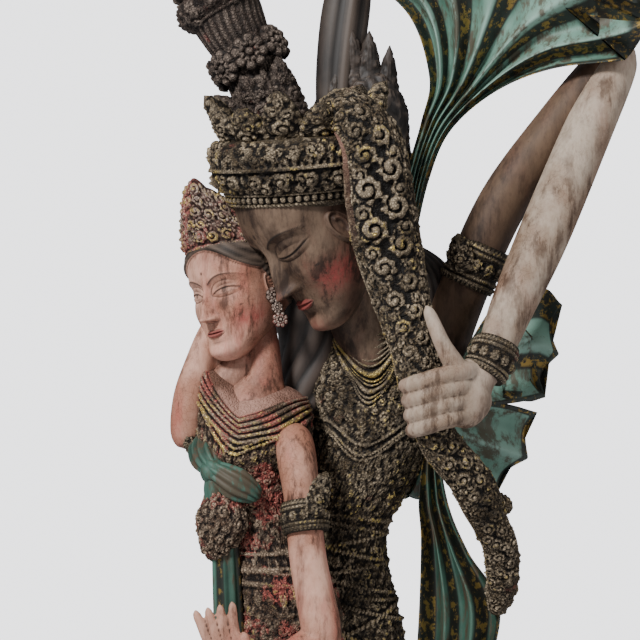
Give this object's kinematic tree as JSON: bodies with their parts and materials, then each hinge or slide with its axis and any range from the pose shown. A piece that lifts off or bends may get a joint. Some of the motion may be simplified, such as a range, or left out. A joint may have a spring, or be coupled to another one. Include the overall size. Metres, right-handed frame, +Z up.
{
  "type": "carved figure group",
  "caption": "Tall carved and painted wooden group of an embracing prince and consort with scarves and crowns, standing on a low oval base.",
  "frame": {"origin": "centre of the base's underside, on the ground", "axes": "+Z up, -Y towards the viewer of the picture, +X to the viewer's right"},
  "size_m": [0.3846, 0.2657, 1.1445],
  "materials": {
    "painted_wood": "antique rubbed paint and gilding over carved wood"
  },
  "bodies": {
    "root": {"rama_and_sita_group": "painted_wood"}
  },
  "joints": []
}
